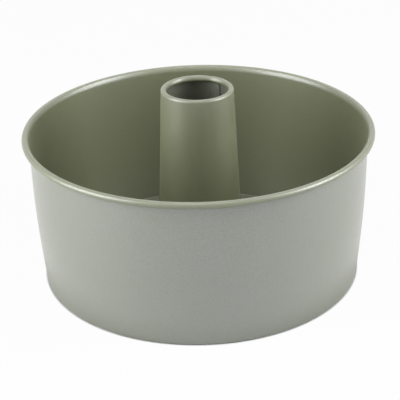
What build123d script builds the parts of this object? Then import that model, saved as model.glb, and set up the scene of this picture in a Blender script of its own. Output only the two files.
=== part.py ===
from build123d import *
import math
import os

# Angel food cake pan in two halves: a ring wall with a wired rim, and a loose base with a tall tube.
# Lengths are in millimetres. +Z is up, and the origin is on the worktop under the pan's axis.

# Sheet steel and wire
sheet = 0.6
wire_diameter = 3.4

# Ring wall
rim_diameter = 254.0
rim_bead = 4.8
pan_height = 112.0
foot_diameter = 234.4
wall_bow = 0.9
foot_bend = 2.0
ledge_width = 7.0

# Loose base
base_clearance = 0.5
seat_width = 6.5
base_step = 2.0
plate_bend = 1.0
collar_height = 2.0

# Centre tube
tube_top_height = 141.1
tube_mouth_diameter = 52.2
tube_root_diameter = 64.8
tube_bead = 3.7
tube_fit = 0.05
flange_width = 5.0

# Lap seam up the tube
lap_width = 5.0
lap_clip = 4.2
joggle_width = 2.5
groove_depth = 0.4

# Spot welds that hold the seam and the flange
weld_diameter = 3.0
weld_depth = 0.15
seam_welds = 6
flange_welds = 8

# Angles in degrees: how far each bead is rolled, and where the lap's inner edge runs up the tube
rim_roll = 308.0
tube_roll = 275.0
seam_angle = 49.5

os.makedirs("parts", exist_ok=True)

# Places that the pieces share
rim_bead_radius = rim_bead / 2
rim_bead_ring = rim_diameter / 2 - rim_bead_radius
rim_bead_height = pan_height - rim_bead_radius
foot_radius = foot_diameter / 2
ledge_radius = foot_radius - ledge_width
plate_underside = sheet + base_step
plate_top = plate_underside + sheet
collar_top = plate_top + collar_height
mouth_radius = tube_mouth_diameter / 2
root_radius = tube_root_diameter / 2
tube_bead_radius = tube_bead / 2
tube_bead_ring = mouth_radius - tube_bead_radius
tube_bead_height = tube_top_height - tube_bead_radius
tube_taper = (root_radius - mouth_radius) / (tube_bead_height - plate_underside)


def tube_radius(height):
    """Outside radius of the tube's wall at a height over the worktop."""
    return root_radius - tube_taper * (height - plate_underside)


def polar(radius, angle):
    """Point at a radius from the pan's axis and an angle in degrees."""
    return (radius * math.cos(math.radians(angle)), radius * math.sin(math.radians(angle)))


# Ring wall: one sheet, turned in at the foot as a ledge, bowed up the side and rolled outward at the rim.
with BuildPart() as pan_wall:
    with BuildSketch(Plane.XZ) as wall_profile:
        with BuildLine():
            underside = Line((ledge_radius, 0), (foot_radius, 0))
            outside = SagittaArc(
                underside @ 1,
                (rim_bead_ring - rim_bead_radius + sheet, rim_bead_height),
                -wall_bow,
            )
            roll_inside = CenterArc(
                (rim_bead_ring, rim_bead_height), rim_bead_radius - sheet, 180, -rim_roll
            )
            roll_outside = CenterArc(
                (rim_bead_ring, rim_bead_height), rim_bead_radius, 180, -rim_roll
            )
            Line(roll_inside @ 1, roll_outside @ 1)
            inside = SagittaArc(
                (foot_radius - sheet, sheet), roll_outside @ 0, -wall_bow
            )
            ledge_top = Line(inside @ 0, (ledge_radius, sheet))
            Line(ledge_top @ 1, underside @ 0)
        make_face()
        foot_corner = wall_profile.vertices().sort_by_distance((foot_radius, 0))[0]
        fillet(foot_corner, radius=foot_bend)
        ledge_corner = wall_profile.vertices().sort_by_distance((foot_radius - sheet, sheet))[0]
        fillet(ledge_corner, radius=foot_bend - sheet)
    revolve(axis=Axis.Z)
pan_wall.part.label = "pan_wall"
export_step(pan_wall.part, "parts/pan_wall.step")

# Rim wire: a ring of round steel wire in the middle of the rim's bead.
with BuildPart() as rim_wire:
    with Locations((0, 0, rim_bead_height)):
        Torus(rim_bead_ring, wire_diameter / 2)
rim_wire.part.label = "rim_wire"
export_step(rim_wire.part, "parts/rim_wire.step")

# Loose base: a disc whose edge lies on the ledge, stepped up inside it, with a collar round the tube.
# The line is the underside of the sheet, and its thickness goes up.
base_radius = foot_radius - foot_bend - base_clearance
step_radius = base_radius - seat_width
with BuildPart() as base_plate:
    with BuildSketch(Plane.XZ):
        with BuildLine():
            FilletPolyline(
                (base_radius, sheet),
                (step_radius, sheet),
                (step_radius - base_step, plate_underside),
                (tube_radius(plate_underside) + tube_fit, plate_underside),
                (tube_radius(collar_top) + tube_fit, collar_top),
                radius=plate_bend,
            )
            offset(amount=sheet, side=Side.RIGHT)
        make_face()
    revolve(axis=Axis.Z)
base_plate.part.label = "base_plate"
export_step(base_plate.part, "parts/base_plate.step")

# Centre tube: a sheet rolled into a taper, lapped along one line, its mouth rolled inward and its foot
# flanged out under the base. The lap's inner layer is made first, so that only its own corner is clipped.
lap_foot = plate_top
lap_top = tube_bead_height - tube_bead_radius / 2
weld_ball = (weld_diameter**2 / 4 + weld_depth**2) / (2 * weld_depth)
flange_radius = root_radius + flange_width
with BuildPart() as centre_tube:
    for height in (lap_foot, lap_top):
        wall_inside = tube_radius(height) - sheet
        lap_turn = math.degrees(lap_width / wall_inside)
        joggle_turn = math.degrees(joggle_width / wall_inside)
        with BuildSketch(Plane.XY.offset(height)):
            with BuildLine():
                in_wall = CenterArc(
                    (0, 0), wall_inside + sheet / 2, seam_angle, lap_turn + joggle_turn
                )
                in_bore = CenterArc((0, 0), wall_inside - sheet, seam_angle, lap_turn)
                Line(in_wall @ 0, in_bore @ 0)
                Line(in_wall @ 1, in_bore @ 1)
            make_face()
    loft(ruled=True)
    chamfer(centre_tube.edges().group_by(Axis.Z)[-1].sort_by(Axis.X)[-1], length=lap_clip)

    with BuildSketch(Plane.XZ) as tube_profile:
        with BuildLine():
            flange_top = Line((flange_radius, plate_underside), (root_radius, plate_underside))
            outside = Line(flange_top @ 1, (mouth_radius, tube_bead_height))
            roll_outside = CenterArc(
                (tube_bead_ring, tube_bead_height), tube_bead_radius, 0, tube_roll
            )
            roll_inside = CenterArc(
                (tube_bead_ring, tube_bead_height), tube_bead_radius - sheet, 0, tube_roll
            )
            Line(roll_outside @ 1, roll_inside @ 1)
            inside = Line(roll_inside @ 0, (root_radius - sheet, plate_underside - sheet))
            underside = Line(inside @ 1, (flange_radius, plate_underside - sheet))
            Line(underside @ 1, flange_top @ 0)
        make_face()
        root_corner = tube_profile.vertices().sort_by_distance(outside @ 0)[0]
        fillet(root_corner, radius=plate_bend)
        under_corner = tube_profile.vertices().sort_by_distance(inside @ 1)[0]
        fillet(under_corner, radius=plate_bend + sheet)
    revolve(axis=Axis.Z)

    # Groove outside, where the sheet is joggled in behind the lap's outer edge
    for height in (lap_foot, lap_top):
        wall_outside = tube_radius(height)
        wall_inside = wall_outside - sheet
        edge_angle = seam_angle + math.degrees(lap_width / wall_inside)
        end_angle = edge_angle + math.degrees(joggle_width / wall_inside)
        with BuildSketch(Plane.XY.offset(height)):
            with BuildLine():
                Polyline(
                    polar(wall_outside - groove_depth, edge_angle),
                    polar(wall_outside + groove_depth / 2, end_angle),
                    polar(wall_outside + sheet, end_angle),
                    polar(wall_outside + sheet, edge_angle),
                    close=True,
                )
            make_face()
    loft(ruled=True, mode=Mode.SUBTRACT)

    # Spot welds down the lap and round the flange
    weld_pitch = (tube_bead_height - collar_top) / (seam_welds + 1)
    weld_places = []
    for weld in range(seam_welds):
        height = collar_top + (weld + 1) * weld_pitch
        out = tube_radius(height) + weld_ball - weld_depth
        middle = seam_angle + math.degrees(lap_width / (2 * tube_radius(height)))
        weld_places.append((*polar(out, middle), height))
    with Locations(*weld_places):
        Sphere(weld_ball, mode=Mode.SUBTRACT)
    with Locations((0, 0, plate_underside - sheet + weld_depth - weld_ball)):
        with PolarLocations(flange_radius - flange_width / 2, flange_welds):
            Sphere(weld_ball, mode=Mode.SUBTRACT)
centre_tube.part.label = "centre_tube"
export_step(centre_tube.part, "parts/centre_tube.step")
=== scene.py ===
import math

import bmesh
import bpy
from mathutils import Matrix, Vector


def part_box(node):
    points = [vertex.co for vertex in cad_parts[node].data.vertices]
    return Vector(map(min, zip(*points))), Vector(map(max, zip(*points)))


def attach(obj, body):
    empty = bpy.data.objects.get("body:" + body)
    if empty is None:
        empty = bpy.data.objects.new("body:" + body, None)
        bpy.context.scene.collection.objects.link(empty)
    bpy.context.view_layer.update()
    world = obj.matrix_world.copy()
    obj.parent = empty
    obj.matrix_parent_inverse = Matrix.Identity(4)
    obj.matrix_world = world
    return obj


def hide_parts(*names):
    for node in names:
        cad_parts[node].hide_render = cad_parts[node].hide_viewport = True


# Angel food cake pan: a ring wall with a wired rim, and a loose base that carries a tall tapered tube.
# Lengths are in metres and angles in degrees. +Z is up, and the origin is on the worktop under the axis.
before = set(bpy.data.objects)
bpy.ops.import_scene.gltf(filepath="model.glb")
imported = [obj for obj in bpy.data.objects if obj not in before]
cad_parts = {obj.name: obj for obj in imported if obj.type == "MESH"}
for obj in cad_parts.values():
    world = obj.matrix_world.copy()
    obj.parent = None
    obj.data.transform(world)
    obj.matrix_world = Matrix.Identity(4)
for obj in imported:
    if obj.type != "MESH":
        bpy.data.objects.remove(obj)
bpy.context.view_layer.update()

# Ring wall
# One sheet of steel, coated on both sides before it is drawn into a ring, so that its cut edges are bare.
# The foot is turned in as the ledge that the base lies on. The top flares out and is rolled round a wire.
sheet = 0.0006
foot_radius = 0.1172
ledge_width = 0.007
foot_bend = 0.001
wall_bow = 0.00138
bow_shape = 1.5
neck_bend = 0.0065
neck_turn = 31
rim_roll = 308
cut_ease = 0.0001
ease_steps = 3
edge_points = 2 * (ease_steps + 1)
bend_steps = 8
ledge_rows = 3
wall_rows = 28
neck_steps = 8
rim_steps = 44
round_columns = 360
sharp_turn = 50
left_side, right_side, cut_side = range(3)

wall_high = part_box("pan_wall")[1]
wire_low, wire_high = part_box("rim_wire")
bead_height = (wire_low.z + wire_high.z) / 2
bead_radius = wall_high.z - bead_height
bead_ring = wall_high.x - bead_radius


def arc(centre, radius, start, turn, steps):
    """Points along an arc of a profile, as radius and height. Angles are in degrees."""
    angles = [math.radians(start + turn * step / steps) for step in range(steps + 1)]
    return [centre + Vector((math.cos(a), math.sin(a))) * radius for a in angles]


def bend(before, corner, after, radius):
    """Points of the bend that a sheet takes at a corner of its profile."""
    into = (corner - before).normalized()
    out = (after - corner).normalized()
    turn = math.atan2(into.x * out.y - into.y * out.x, into.dot(out))
    side = math.copysign(1, turn)
    inward = Vector((-into.y, into.x)) * side
    centre = corner - into * radius * math.tan(abs(turn) / 2) + inward * radius
    start = math.degrees(math.atan2(-inward.y, -inward.x))
    return arc(centre, radius, start, math.degrees(turn), bend_steps)


def straight(start, end, rows):
    """Points between two ends of a straight run, the ends left out."""
    return [start.lerp(end, row / (rows + 1)) for row in range(1, rows + 1)]


def headings(path):
    """Direction of a path at each of its points."""
    steps = [(b - a).normalized() for a, b in zip(path, path[1:])]
    between = [(a + b).normalized() for a, b in zip(steps, steps[1:])]
    return [steps[0], *between, steps[-1]]


def cut_edge(end, out, half):
    """Points round the cut edge of a sheet, from its left side to its right, both corners eased."""
    left = Vector((-out.y, out.x))
    points = []
    for side, first in ((1, 90), (-1, 0)):
        corner = end - out * cut_ease + left * side * (half - cut_ease)
        for step in range(ease_steps + 1):
            a = math.radians(first - 90 * step / ease_steps)
            points.append(corner + (out * math.cos(a) + left * math.sin(a)) * cut_ease)
    return points


def sheet_outline(path, thickness):
    """Closed outline of a sheet whose middle follows a path."""
    half = thickness / 2
    heading = headings(path)
    left = [p + Vector((-h.y, h.x)) * half for p, h in zip(path, heading)][1:-1]
    right = [p - Vector((-h.y, h.x)) * half for p, h in zip(path, heading)][1:-1]
    far_edge = cut_edge(path[-1], heading[-1], half)
    near_edge = cut_edge(path[0], -heading[0], half)
    return [*left, *far_edge, *reversed(right), *near_edge]


def outline_sides(path):
    """Side of the sheet that each step of its outline lies on."""
    run = len(path) - 2
    edge = [cut_side] * (edge_points - 1)
    return [left_side] * run + edge + [right_side] * (run + 1) + edge + [left_side]


def around(point, angle):
    """A profile's point, turned to an angle round the pan's axis."""
    return (point.x * math.cos(angle), point.x * math.sin(angle), point.y)


def skin(columns, closed):
    """Faces between outlines of a sheet that follow each other, and from the last to the first if closed."""
    count = len(columns[0])
    faces = []
    for column in range(len(columns) if closed else len(columns) - 1):
        here = column * count
        there = (column + 1) % len(columns) * count
        for row in range(count):
            after = (row + 1) % count
            faces.append((here + row, there + row, there + after, here + after))
    return faces


def turned(path):
    """Vertices, faces and sides of a sheet whose middle follows a path turned round the pan's axis."""
    outline = sheet_outline(path, sheet)
    angles = [math.tau * column / round_columns for column in range(round_columns)]
    columns = [[around(point, angle) for point in outline] for angle in angles]
    vertices = [point for column in columns for point in column]
    return vertices, skin(columns, closed=True), outline_sides(path) * round_columns


def sheet_metal(name, vertices, faces, sides, finishes):
    """Object of one piece of sheet metal, with a finish for its left side, right side and cut edges."""
    mesh = bpy.data.meshes.new(name)
    mesh.from_pydata(vertices, [], faces)
    for finish in finishes:
        mesh.materials.append(finish)
    mesh.polygons.foreach_set("material_index", sides)
    shell = bmesh.new()
    shell.from_mesh(mesh)
    bmesh.ops.recalc_face_normals(shell, faces=shell.faces)
    shell.to_mesh(mesh)
    shell.free()
    mesh.shade_smooth()
    mesh.set_sharp_from_angle(angle=math.radians(sharp_turn))
    piece = bpy.data.objects.new(name, mesh)
    bpy.context.collection.objects.link(piece)
    return piece


ledge_lip = Vector((foot_radius - ledge_width, sheet / 2))
foot_corner = Vector((foot_radius - sheet / 2, sheet / 2))
wall_foot = Vector((foot_radius - sheet / 2, 0))
rim_middle = Vector((bead_ring, bead_height))
neck_out = Vector((math.cos(math.radians(neck_turn)), -math.sin(math.radians(neck_turn))))
neck_middle = rim_middle + neck_out * (neck_bend - bead_radius + sheet)
wall_top = neck_middle - Vector((neck_bend + sheet / 2, 0))
wall_line = wall_top - wall_foot
wall_side = Vector((wall_line.y, -wall_line.x)).normalized()


def wall_point(share):
    """Middle of the wall's sheet at a share of the way from its foot to the neck."""
    bow = wall_bow * (4 * share * (1 - share)) ** bow_shape
    return wall_foot + wall_line * share + wall_side * bow


rise = [wall_point(row / wall_rows) for row in range(1, wall_rows)]
foot_turn = bend(ledge_lip, foot_corner, rise[0], foot_bend - sheet / 2)
neck = arc(neck_middle, neck_bend + sheet / 2, 180, -neck_turn, neck_steps)[:-1]
rim_curl = arc(
    rim_middle, bead_radius - sheet / 2, 180 - neck_turn, neck_turn - rim_roll, rim_steps,
)
wall_path = [
    ledge_lip, *straight(ledge_lip, foot_turn[0], ledge_rows), *foot_turn, *rise, *neck, *rim_curl,
]


def new_effect(name, inputs, outputs):
    """Empty node group with its sockets, and its input and output nodes."""
    tree = bpy.data.node_groups.new(name, "ShaderNodeTree")
    for label, kind in inputs:
        tree.interface.new_socket(label, in_out="INPUT", socket_type=kind)
    for label, kind in outputs:
        tree.interface.new_socket(label, in_out="OUTPUT", socket_type=kind)
    return tree, tree.nodes.new("NodeGroupInput"), tree.nodes.new("NodeGroupOutput")


def feed(tree, socket, source):
    """Gives a socket a number or a colour, or links an output to it."""
    if isinstance(source, bpy.types.NodeSocket):
        tree.links.new(source, socket)
    else:
        socket.default_value = source


def feed_all(tree, node, sources):
    """Feeds a node's inputs, each by its name or its number."""
    for place, source in sources.items():
        feed(tree, node.inputs[place], source)


def add_node(tree, kind, sources=None, **settings):
    """New node in a tree, with its settings and its inputs fed."""
    node = tree.nodes.new(kind)
    for setting, value in settings.items():
        setattr(node, setting, value)
    feed_all(tree, node, sources or {})
    return node


def math_node(tree, operation, *values):
    """Output of a Math node."""
    node = add_node(tree, "ShaderNodeMath", dict(enumerate(values)), operation=operation)
    return node.outputs[0]


def colour_mix(tree, factor, first, second):
    """Output of a Mix node, whose inputs 6 and 7 and output 2 are its colour ones."""
    node = add_node(
        tree, "ShaderNodeMix", {"Factor": factor, 6: first, 7: second}, data_type="RGBA",
    )
    return node.outputs[2]


def noise(tree, place, per_metre, **settings):
    """Noise over a surface, from 0 to 1, with about so many swings to the metre."""
    node = add_node(tree, "ShaderNodeTexNoise", {"Vector": place, "Scale": per_metre}, **settings)
    return node.outputs["Fac"]


noise_middle = 0.5


def swung(tree, chance, strength, middle):
    """A value that swings about its middle as a noise or a chance from 0 to 1 does about its own."""
    swing = math_node(tree, "SUBTRACT", chance, noise_middle)
    return math_node(tree, "MULTIPLY_ADD", swing, strength, middle)


def make_flake_effect():
    """Metal flakes strewn in a lacquer: bare flakes here and there, thicker where the spray overlaps."""
    tree, given, made = new_effect(
        "lacquer_flakes",
        [
            ("Position", "NodeSocketVector"),
            ("Lacquer Colour", "NodeSocketColor"),
            ("Flake Colour", "NodeSocketColor"),
            ("Flake Share", "NodeSocketFloat"),
            ("Flakes per Metre", "NodeSocketFloat"),
            ("Grains per Metre", "NodeSocketFloat"),
            ("Grain Strength", "NodeSocketFloat"),
            ("Clouds per Metre", "NodeSocketFloat"),
            ("Cloud Strength", "NodeSocketFloat"),
            ("Roughness", "NodeSocketFloat"),
            ("Roughness Spread", "NodeSocketFloat"),
        ],
        [
            ("Colour", "NodeSocketColor"),
            ("Metal", "NodeSocketFloat"),
            ("Roughness", "NodeSocketFloat"),
            ("Height", "NodeSocketFloat"),
        ],
    )
    asked = given.outputs
    cells = add_node(
        tree, "ShaderNodeTexVoronoi",
        {"Vector": asked["Position"], "Scale": asked["Flakes per Metre"]},
        feature="F1",
    )
    chance = add_node(tree, "ShaderNodeSeparateColor", {"Color": cells.outputs["Color"]}).outputs
    grain = noise(tree, asked["Position"], asked["Grains per Metre"])
    clouds = noise(tree, asked["Position"], asked["Clouds per Metre"])
    share = swung(tree, clouds, asked["Cloud Strength"], asked["Flake Share"])
    bare = math_node(tree, "LESS_THAN", chance["Red"], share)
    mixed = colour_mix(tree, bare, asked["Lacquer Colour"], asked["Flake Colour"])
    shade = swung(tree, grain, asked["Grain Strength"], 1.0)
    shaded = add_node(tree, "ShaderNodeVectorMath", {0: mixed, "Scale": shade}, operation="SCALE")
    feed_all(tree, made, {
        "Colour": shaded.outputs[0],
        "Metal": bare,
        "Roughness": swung(tree, chance["Green"], asked["Roughness Spread"], asked["Roughness"]),
        "Height": math_node(tree, "ADD", chance["Blue"], grain),
    })
    return tree


def make_ring_effect():
    """Faint rings that the forming tool leaves round the pan's axis."""
    tree, given, made = new_effect(
        "forming_rings",
        [("Position", "NodeSocketVector"), ("Rings per Metre", "NodeSocketFloat")],
        [("Height", "NodeSocketFloat")],
    )
    place = add_node(tree, "ShaderNodeSeparateXYZ", {0: given.outputs["Position"]}).outputs
    flat = add_node(tree, "ShaderNodeCombineXYZ", {"X": place["X"], "Y": place["Y"]})
    radius = add_node(tree, "ShaderNodeVectorMath", {0: flat.outputs[0]}, operation="LENGTH")
    profile = add_node(tree, "ShaderNodeCombineXYZ", {"X": radius.outputs["Value"], "Y": place["Z"]})
    rings = noise(tree, profile.outputs[0], given.outputs["Rings per Metre"], noise_dimensions="2D")
    feed(tree, made.inputs["Height"], rings)
    return tree


flake_effect = make_flake_effect()
ring_effect = make_ring_effect()
flakes_per_metre = 9000.0
flake_depth = 0.000004
grains_per_metre = 900.0
grain_strength = 0.2
clouds_per_metre = 45.0
cloud_strength = 0.1
rings_per_metre = 900.0
ring_depth = 0.000006
roughness_spread = 0.08
lacquer_gloss = 0.5
lacquer_gloss_roughness = 0.3


def new_material(name):
    """Material that is made of nodes, and its node tree."""
    material = bpy.data.materials.new(name)
    material.use_nodes = True
    return material, material.node_tree


def lacquer(name, colour, flake_colour, flake_share, roughness):
    """Satin metallic non-stick lacquer on sheet steel."""
    material, tree = new_material(name)
    place = add_node(tree, "ShaderNodeTexCoord").outputs["Object"]
    flakes = add_node(
        tree, "ShaderNodeGroup",
        {
            "Position": place,
            "Lacquer Colour": colour,
            "Flake Colour": flake_colour,
            "Flake Share": flake_share,
            "Flakes per Metre": flakes_per_metre,
            "Grains per Metre": grains_per_metre,
            "Grain Strength": grain_strength,
            "Clouds per Metre": clouds_per_metre,
            "Cloud Strength": cloud_strength,
            "Roughness": roughness,
            "Roughness Spread": roughness_spread,
        },
        node_tree=flake_effect,
    ).outputs
    rings = add_node(
        tree, "ShaderNodeGroup",
        {"Position": place, "Rings per Metre": rings_per_metre},
        node_tree=ring_effect,
    ).outputs
    ring_bump = add_node(
        tree, "ShaderNodeBump", {"Height": rings["Height"], "Distance": ring_depth},
    ).outputs["Normal"]
    flake_bump = add_node(
        tree, "ShaderNodeBump",
        {"Height": flakes["Height"], "Distance": flake_depth, "Normal": ring_bump},
    ).outputs["Normal"]
    feed_all(tree, tree.nodes["Principled BSDF"], {
        "Base Color": flakes["Colour"],
        "Roughness": flakes["Roughness"],
        "Normal": flake_bump,
        "Metallic": flakes["Metal"],
        "Coat Weight": lacquer_gloss,
        "Coat Roughness": lacquer_gloss_roughness,
    })
    return material


def bare_steel(name, dark, light, roughness):
    """Bare steel with the fine grain that drawing or cutting leaves."""
    material, tree = new_material(name)
    grain = noise(tree, add_node(tree, "ShaderNodeTexCoord").outputs["Object"], grains_per_metre)
    feed_all(tree, tree.nodes["Principled BSDF"], {
        "Base Color": colour_mix(tree, grain, dark, light),
        "Roughness": math_node(tree, "MULTIPLY_ADD", grain, roughness_spread, roughness),
        "Metallic": 1.0,
    })
    return material


food_lacquer = lacquer(
    "food_side_lacquer",
    colour=(0.236, 0.254, 0.149, 1),
    flake_colour=(0.252, 0.259, 0.272, 1),
    flake_share=0.25,
    roughness=0.4,
)
outer_lacquer = lacquer(
    "outer_side_lacquer",
    colour=(0.272, 0.286, 0.208, 1),
    flake_colour=(0.366, 0.378, 0.398, 1),
    flake_share=0.4,
    roughness=0.38,
)
# Cut edges are bare steel, with their tone painted dark as shade for the gap along the tube's lap seam.
cut_steel_with_painted_shade = bare_steel(
    "cut_steel_with_painted_shade", dark=(0.1, 0.1, 0.097, 1), light=(0.17, 0.17, 0.165, 1), roughness=0.45,
)
ring_wall = sheet_metal("ring_wall", *turned(wall_path), (food_lacquer, outer_lacquer, cut_steel_with_painted_shade))
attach(ring_wall, "ring")
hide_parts("pan_wall")

# Rim wire
# A ring of plain drawn steel wire, closed in by the rolled rim. Only its underside can be seen, through
# the narrow gap that the roll leaves beside the wall.
wire_steel = bare_steel(
    "wire_steel", dark=(0.36, 0.36, 0.35, 1), light=(0.52, 0.52, 0.51, 1), roughness=0.3,
)
wire_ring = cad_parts["rim_wire"]
wire_ring.data.materials.clear()
wire_ring.data.materials.append(wire_steel)

# Loose base
# A disc of the same sheet whose edge lies loose on the ledge. It steps up inside its seat, and a collar is
# turned up round the hole for the tube. The collar follows the tube's taper, so the tube's radii are here.
seat_width = 0.0065
base_step = 0.002
plate_bend = 0.001
tube_fit = 0.00005
root_radius = 0.0324
mouth_radius = 0.0261
tube_bead_radius = 0.00195
seat_rows = 3
plate_rows = 16
collar_rows = 2

base_low, base_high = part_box("base_plate")
tube_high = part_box("centre_tube")[1]
base_radius = base_high.x
seat_middle = base_low.z + sheet / 2
plate_middle = seat_middle + base_step
plate_top = plate_middle + sheet / 2
tube_bead_height = tube_high.z - tube_bead_radius
tube_taper = (root_radius - mouth_radius) / (tube_bead_height - (plate_middle - sheet / 2))


def tube_radius(height):
    """Outside radius of the tube's wall at a height over the worktop."""
    return root_radius - tube_taper * (height - (plate_middle - sheet / 2))


def collar_point(height):
    """Middle of the collar's sheet at a height, just outside the tube."""
    return Vector((tube_radius(height) + tube_fit + sheet / 2, height))


step_radius = base_radius - seat_width
base_edge = Vector((base_radius, seat_middle))
seat_corner = Vector((step_radius, seat_middle))
step_corner = Vector((step_radius - base_step, plate_middle))
collar_foot = collar_point(plate_middle)
collar_top = collar_point(base_high.z)
seat_turn = bend(base_edge, seat_corner, step_corner, plate_bend - sheet / 2)
step_turn = bend(seat_corner, step_corner, collar_foot, plate_bend + sheet / 2)
collar_turn = bend(step_corner, collar_foot, collar_top, plate_bend - sheet / 2)
base_path = [
    base_edge,
    *straight(base_edge, seat_turn[0], seat_rows),
    *seat_turn,
    *step_turn,
    *straight(step_turn[-1], collar_turn[0], plate_rows),
    *collar_turn,
    *straight(collar_turn[-1], collar_top, collar_rows),
    collar_top,
]
base_disc = sheet_metal("base_disc", *turned(base_path), (outer_lacquer, food_lacquer, cut_steel_with_painted_shade))
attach(base_disc, "core")
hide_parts("base_plate")

# Centre tube
# Sheet rolled into a taper and lapped along one line, where it is joggled in by its own thickness and spot
# welded. Its mouth is rolled inward as a bead, and its foot is flanged out and welded under the base. A
# turn of the sheet is measured in degrees from the lap's outer edge.
seam_angle = 49.5
lap_width = 0.005
lap_gap = 0.00015
lap_clip = 0.0012
lap_foot = 0.0048
lap_columns = 10
joggle_turn = 5.6
bead_joggle_turn = 24
bead_joggle = 0.00025
joggle_column_turn = 0.8
tuck_turn = 1
slit_turn = 0.25
edge_share = 0.5
edge_turn = 0.2
tube_column_turn = 2.5
lap_zone_turn = 12
lap_column_turn = 0.6
tube_roll = 275
hem_drop = 0.0007
hem_reach = 0.0002
tube_curl_steps = 20
flange_rows = 12
flange_welds = 8
seam_welds = 6
weld_radius = 0.0015
weld_depth = 0.00015
weld_window = 0.0018
weld_steps = 12
wall_pitch = 0.0045
joggle_rows = 5

tube_bead_ring = mouth_radius - tube_bead_radius
tube_lean = math.degrees(math.atan(tube_taper))
flange_middle = plate_middle - sheet
lap_top = tube_bead_height - 2 * tube_bead_radius + sheet


def eased(share):
    """Share from 0 to 1 that starts and ends gently."""
    kept = min(max(share, 0), 1)
    return kept * kept * (3 - 2 * kept)


def with_windows(places, windows, half):
    """Places in order, with closer steps in a window of each weld."""
    fine = [w + half * (2 * step / weld_steps - 1) for w in windows for step in range(weld_steps + 1)]
    margin = half + half / weld_steps
    return sorted([*fine, *[p for p in places if all(abs(p - w) > margin for w in windows)]])


def spaced(start, end, pitch):
    """Even places from a start up to an end, the end left out, at about a pitch."""
    count = round((end - start) / pitch)
    return [start + (end - start) * step / count for step in range(count)]


weld_pitch = (tube_bead_height - base_high.z) / (seam_welds + 1)
weld_heights = [base_high.z + (weld + 1) * weld_pitch for weld in range(seam_welds)]
root_corner = Vector((tube_radius(flange_middle) - sheet / 2, flange_middle))
mouth_corner = Vector((mouth_radius - sheet / 2, tube_bead_height))
flange_edge = Vector((tube_high.x, flange_middle))
root_turn = bend(flange_edge, root_corner, mouth_corner, plate_bend + sheet / 2)
mouth_middle = Vector((tube_bead_ring, tube_bead_height))
hem_middle = mouth_middle - Vector((hem_reach, hem_drop))
hem_turn = 90 + math.degrees(math.atan2(hem_drop, hem_reach))
mouth_curl = [
    *arc(mouth_middle, tube_bead_radius - sheet / 2, tube_lean, hem_turn - tube_lean, tube_curl_steps),
    *arc(hem_middle, tube_bead_radius - sheet / 2, hem_turn, tube_roll - hem_turn, tube_curl_steps),
]
wall_start, wall_end = root_turn[-1], mouth_curl[0]
lap_rows = [*with_windows(spaced(lap_foot, lap_top, wall_pitch), weld_heights, weld_window), lap_top]


def tube_wall_point(height):
    """Middle of the tube wall's sheet at a height."""
    return wall_start.lerp(wall_end, (height - wall_start.y) / (wall_end.y - wall_start.y))


below_lap = [
    flange_edge,
    *straight(flange_edge, root_turn[0], flange_rows),
    *root_turn,
    *straight(wall_start, tube_wall_point(lap_foot), joggle_rows),
]
above_lap = straight(tube_wall_point(lap_top), wall_end, joggle_rows)
tube_path = [*below_lap, *[tube_wall_point(height) for height in lap_rows], *above_lap, *mouth_curl]
tube_heading = headings(tube_path)
tube_sides = [Vector((-h.y, h.x)) for h in tube_heading]


def lap_share(height):
    """How far the joggle has set in at a height: fully along the lap, not at all in the flange and bead."""
    below = eased((height - plate_top) / (lap_foot - plate_top))
    above = eased((tube_bead_height - height) / (tube_bead_height - lap_top))
    return below * above


def outer_edge_angle(height):
    """Angle in degrees where the lap's outer layer ends."""
    return seam_angle + math.degrees(lap_width / (tube_radius(height) - sheet))


def joggled(point, side, turn):
    """A point of the sheet's middle, set in where the lap's outer layer will lie over it."""
    wall_set = (sheet + lap_gap) * lap_share(point.y) * eased((turn - 360 + joggle_turn) / joggle_turn)
    bead_set = bead_joggle * eased((turn - 360 + bead_joggle_turn) / bead_joggle_turn)
    if point.y > wall_end.y or point.x < tube_bead_ring:
        return point + side * bead_set + Vector((bead_set, 0))
    return point + side * wall_set


def sheet_angle(turn, height):
    """Angle in radians at a turn: the sheet's ends overlap along the lap and leave a slit elsewhere."""
    along_lap = lap_foot - sheet / 2 < height < lap_top + sheet / 2
    full = 360 + (tuck_turn if along_lap else -slit_turn)
    return math.radians(outer_edge_angle(height) - turn * full / 360)


def tube_column(turn):
    """Outline of the tube's sheet in space, at a turn from the lap's outer edge."""
    path = [joggled(point, side, turn) for point, side in zip(tube_path, tube_sides)]
    thickness = sheet * (edge_share if turn in (0, 360) else 1)
    return [around(point, sheet_angle(turn, point.y)) for point in sheet_outline(path, thickness)]


def lap_column(share):
    """The lap's inner layer in space, bore side then outer side, at a share of the way to its free edge."""
    clip = max(0, share * lap_width - (lap_width - lap_clip))
    half = sheet / 2 * (edge_share if share == 1 else 1)
    sides = ([], [])
    for row in lap_rows:
        height = lap_foot + (row - lap_foot) * (lap_top - clip - lap_foot) / (lap_top - lap_foot)
        middle = tube_wall_point(height) - Vector((sheet + lap_gap, 0))
        start = outer_edge_angle(height) - tuck_turn
        angle = math.radians(start + (seam_angle - start) * share)
        for side, points in zip((-half, half), sides):
            points.append(around(middle + Vector((side, 0)), angle))
    return sides


flange_weld_ring = (flange_edge.x + root_radius) / 2
flange_weld_angles = [360 * weld / flange_welds for weld in range(flange_welds)]
flange_edge_angle = outer_edge_angle(flange_middle)
flange_weld_turns = [(flange_edge_angle - angle) % 360 for angle in flange_weld_angles]
tube_turns = [
    0,
    edge_turn,
    *with_windows(
        [
            *spaced(lap_column_turn, lap_zone_turn, lap_column_turn),
            *spaced(lap_zone_turn, 360 - bead_joggle_turn, tube_column_turn),
            *spaced(360 - bead_joggle_turn, 360, joggle_column_turn),
        ],
        flange_weld_turns,
        math.degrees(weld_window / flange_weld_ring),
    ),
    360 - edge_turn,
    360,
]

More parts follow.
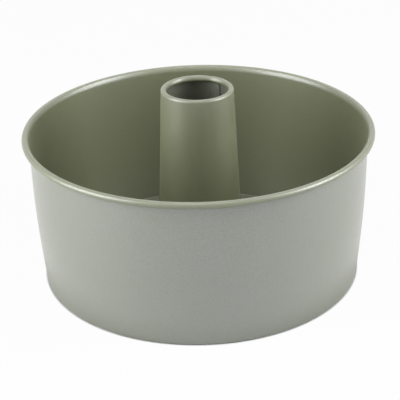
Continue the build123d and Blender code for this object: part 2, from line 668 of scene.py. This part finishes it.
welds = []
for height in weld_heights:
    angle = math.radians(seam_angle) + lap_width / (2 * tube_radius(height))
    out = Vector((math.cos(angle), math.sin(angle), 0))
    welds.append((out * tube_radius(height) + Vector((0, 0, height)), -out))
for angle in flange_weld_angles:
    place = around(Vector((flange_weld_ring, flange_middle - sheet / 2)), math.radians(angle))
    welds.append((Vector(place), Vector((0, 0, 1))))


def pressed(vertex):
    """A point of the sheet, pressed in where a weld's electrode met that side of it."""
    point = Vector(vertex)
    for place, inward in welds:
        away = (point - place) / weld_radius
        if away.length < 1 and away.dot(inward) * weld_radius < sheet / 2:
            return point + inward * weld_depth * (1 - away.length_squared)
    return point


tube_run = len(tube_path) - 2
outline_points = 2 * (tube_run + edge_points)


def facing(row):
    """Row of the tube's outline on the sheet's other side."""
    return outline_points - edge_points - 1 - row


def edge_faces(start, open_rows):
    """Faces that close one edge of the tube's sheet, but for the rows where the lap goes on."""
    faces = []
    for row in range(tube_run - 1):
        if row not in open_rows:
            faces.append((start + row, start + row + 1, start + facing(row + 1), start + facing(row)))
    faces.append([start + row for row in range(tube_run - 1, facing(tube_run - 1) + 1)])
    faces.append([start + row % outline_points for row in range(facing(0), outline_points + 1)])
    return faces


def inner_layer(bore, outside, used):
    """Vertices, faces and sides of the lap's inner layer, which goes on from two rows of used vertices."""
    vertices = []
    faces = []
    sides = []
    eased_share = 1 - edge_turn / (outer_edge_angle(lap_top) - seam_angle)
    for share in [*[column / lap_columns for column in range(1, lap_columns)], eased_share, 1]:
        ahead = []
        for points in lap_column(share):
            first = used + len(vertices)
            ahead.append(range(first, first + len(points)))
            vertices.extend(points)
        for side, behind, rows in ((left_side, bore, ahead[0]), (right_side, outside, ahead[1])):
            for row in range(len(rows) - 1):
                faces.append((behind[row], behind[row + 1], rows[row + 1], rows[row]))
                sides.append(side)
        for end in (0, -1):
            faces.append((bore[end], ahead[0][end], ahead[1][end], outside[end]))
            sides.append(cut_side)
        bore, outside = ahead
    for row in range(len(bore) - 1):
        faces.append((bore[row], bore[row + 1], outside[row + 1], outside[row]))
        sides.append(cut_side)
    return vertices, faces, sides


def lapped_tube():
    """Vertices, faces and sides of the tube's sheet: its turns from edge to edge, then the inner layer."""
    columns = [tube_column(turn) for turn in tube_turns]
    vertices = [point for column in columns for point in column]
    last = len(vertices) - outline_points
    first_lap = len(below_lap) - 1
    last_lap = first_lap + len(lap_rows) - 1
    edges = [*edge_faces(0, ()), *edge_faces(last, range(first_lap, last_lap))]
    bore = [last + row for row in range(first_lap, last_lap + 1)]
    outside = [last + facing(row) for row in range(first_lap, last_lap + 1)]
    lap_vertices, lap_faces, lap_sides = inner_layer(bore, outside, len(vertices))
    sides = outline_sides(tube_path) * (len(columns) - 1) + [cut_side] * len(edges) + lap_sides
    faces = [*skin(columns, closed=False), *edges, *lap_faces]
    return [pressed(vertex) for vertex in [*vertices, *lap_vertices]], faces, sides


tube_sheet = sheet_metal("tube_sheet", *lapped_tube(), (outer_lacquer, food_lacquer, cut_steel_with_painted_shade))
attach(tube_sheet, "core")
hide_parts("centre_tube")

# Studio
# A white sweep under plain soft light: a large softbox on each side of the pan, and small ones behind it and
# overhead. Round the foot the floor's white glow fades out to its grey matt paint, as painted shade in
# which the pan's real shadow also shows: a thin painted contact shadow to the camera, and a wider band in
# mirrors. From below the floor is clear.
floor_half = 3.0
floor_drop = 0.0001
# Grey matt paint: it bounces light onto the pan, and it shows in the painted shade round the foot.
floor_and_painted_shade_colour = (0.6, 0.6, 0.6, 1)
floor_white = 0.96
# Widths of that painted shade outside the foot: to the camera, and in mirrors.
painted_contact_shadow_width = 0.0012
painted_shade_width = 0.025
softbox_distance = 1.4
softboxes = {
    "left_softbox": {"azimuth": -70, "elevation": 24, "width": 1.0, "height": 1.3, "power": 24.5},
    "right_softbox": {"azimuth": 78, "elevation": 29, "width": 0.8, "height": 1.2, "power": 21},
    "back_softbox": {"azimuth": 180, "elevation": 50, "width": 0.8, "height": 0.6, "power": 2.2},
    "top_softbox": {"azimuth": 0, "elevation": 75, "width": 0.5, "height": 0.5, "power": 3.1},
}

floor_mesh = bpy.data.meshes.new("floor")
floor_corners = [(-1, -1), (1, -1), (1, 1), (-1, 1)]
floor_places = [(x * floor_half, y * floor_half, -floor_drop) for x, y in floor_corners]
floor_mesh.from_pydata(floor_places, [], [(0, 1, 2, 3)])
floor = bpy.data.objects.new("floor", floor_mesh)
bpy.context.collection.objects.link(floor)


def seen_rays(tree):
    """Factors that are 1 for what the camera sees, and for what metal and glass mirror."""
    path = add_node(tree, "ShaderNodeLightPath").outputs
    mirrored = math_node(tree, "MAXIMUM", path["Is Glossy Ray"], path["Is Transmission Ray"])
    return path["Is Camera Ray"], mirrored


# Where this factor is below 1, the floor's glow gives way to painted shade round the foot.
def glow_past_painted_shade(tree, from_axis, width):
    """Factor that is 0 under the pan and grows to 1 over a width outside its foot."""
    growth = add_node(
        tree, "ShaderNodeMapRange",
        {"Value": from_axis, "From Min": foot_radius, "From Max": foot_radius + width},
        interpolation_type="SMOOTHSTEP",
    )
    return growth.outputs["Result"]


def shader_mix(tree, factor, first, second):
    """Output of a node that mixes two shaders."""
    return add_node(tree, "ShaderNodeMixShader", {"Fac": factor, 1: first, 2: second}).outputs[0]


def make_floor_paint():
    """Pale paint, white to the camera and mirrors but for painted shade round the foot, clear from below."""
    material, tree = new_material("floor_paint")
    tree.nodes.clear()
    place = add_node(tree, "ShaderNodeTexCoord").outputs["Object"]
    from_axis = add_node(tree, "ShaderNodeVectorMath", {0: place}, operation="LENGTH").outputs["Value"]
    by_camera, mirrored = seen_rays(tree)
    # Painted shade: the glow fades to matt paint over a thin band for the camera and a wider one in mirrors.
    camera_white = math_node(tree, "MULTIPLY", by_camera, glow_past_painted_shade(tree, from_axis, painted_contact_shadow_width))
    mirror_white = math_node(tree, "MULTIPLY", mirrored, glow_past_painted_shade(tree, from_axis, painted_shade_width))
    white = math_node(tree, "MAXIMUM", camera_white, mirror_white)
    matt = add_node(tree, "ShaderNodeBsdfDiffuse", {"Color": floor_and_painted_shade_colour}).outputs[0]
    glow = add_node(tree, "ShaderNodeEmission").outputs[0]
    top = shader_mix(tree, math_node(tree, "MULTIPLY", white, floor_white), matt, glow)
    from_below = add_node(tree, "ShaderNodeNewGeometry").outputs["Backfacing"]
    clear = add_node(tree, "ShaderNodeBsdfTransparent").outputs[0]
    one_sided = shader_mix(tree, from_below, top, clear)
    add_node(tree, "ShaderNodeOutputMaterial", {"Surface": one_sided})
    return material


floor_mesh.materials.append(make_floor_paint())

world = bpy.data.worlds.new("studio")
bpy.context.scene.world = world
world.use_nodes = True
world.node_tree.nodes.clear()
backdrop_white = math_node(world.node_tree, "MAXIMUM", *seen_rays(world.node_tree))
backdrop = add_node(
    world.node_tree, "ShaderNodeBackground", {"Color": (1, 1, 1, 1), "Strength": backdrop_white},
)
add_node(world.node_tree, "ShaderNodeOutputWorld", {"Surface": backdrop.outputs[0]})


def softbox(name, azimuth, elevation, width, height, power):
    """Area lamp that points at the pan. Azimuth 0 is the camera's side, and plus is to its right."""
    lamp = bpy.data.lights.new(name, "AREA")
    lamp.shape = "RECTANGLE"
    lamp.size = width
    lamp.size_y = height
    lamp.energy = power
    turn = math.radians(azimuth)
    lift = math.radians(elevation)
    out = Vector((math.sin(turn) * math.cos(lift), -math.cos(turn) * math.cos(lift), math.sin(lift)))
    aim = out.to_track_quat("Z", "Y").to_matrix().to_4x4()
    box = bpy.data.objects.new(name, lamp)
    box.matrix_world = Matrix.Translation(out * softbox_distance) @ aim
    box.visible_camera = False
    bpy.context.collection.objects.link(box)


for name, size_and_place in softboxes.items():
    softbox(name, **size_and_place)

# Camera
# Stands a little under nine tenths of a metre from the rim, where the photo was taken. The rim's middle
# lies at a pixel of the photo, which is 400 pixels wide.
image_width = 400
focal_length_px = 1228.3
rim_middle_px = (198.14, 128.15)
camera_distance = 0.88875
camera_pitch = 26.5
camera_roll = -1.504
sensor_width_mm = 36

pitch = math.radians(camera_pitch)
roll = math.radians(camera_roll)
forward = Vector((0, math.cos(pitch), -math.sin(pitch)))
level = Vector((1, 0, 0))
upright = level.cross(forward)
camera_right = level * math.cos(roll) + upright * math.sin(roll)
camera_up = upright * math.cos(roll) - level * math.sin(roll)
across = (rim_middle_px[0] - image_width / 2) / focal_length_px
above = (image_width / 2 - rim_middle_px[1]) / focal_length_px
rim_centre = Vector((0, 0, bead_height))
camera_place = rim_centre - (forward + camera_right * across + camera_up * above) * camera_distance

camera_data = bpy.data.cameras.new("photo_camera")
camera_data.sensor_width = sensor_width_mm
camera_data.lens = sensor_width_mm * focal_length_px / image_width
camera = bpy.data.objects.new("photo_camera", camera_data)
camera_turn = Matrix((camera_right, camera_up, -forward)).transposed()
camera.matrix_world = Matrix.Translation(camera_place) @ camera_turn.to_4x4()
bpy.context.collection.objects.link(camera)
bpy.context.scene.camera = camera
bpy.context.scene.view_settings.view_transform = "Standard"
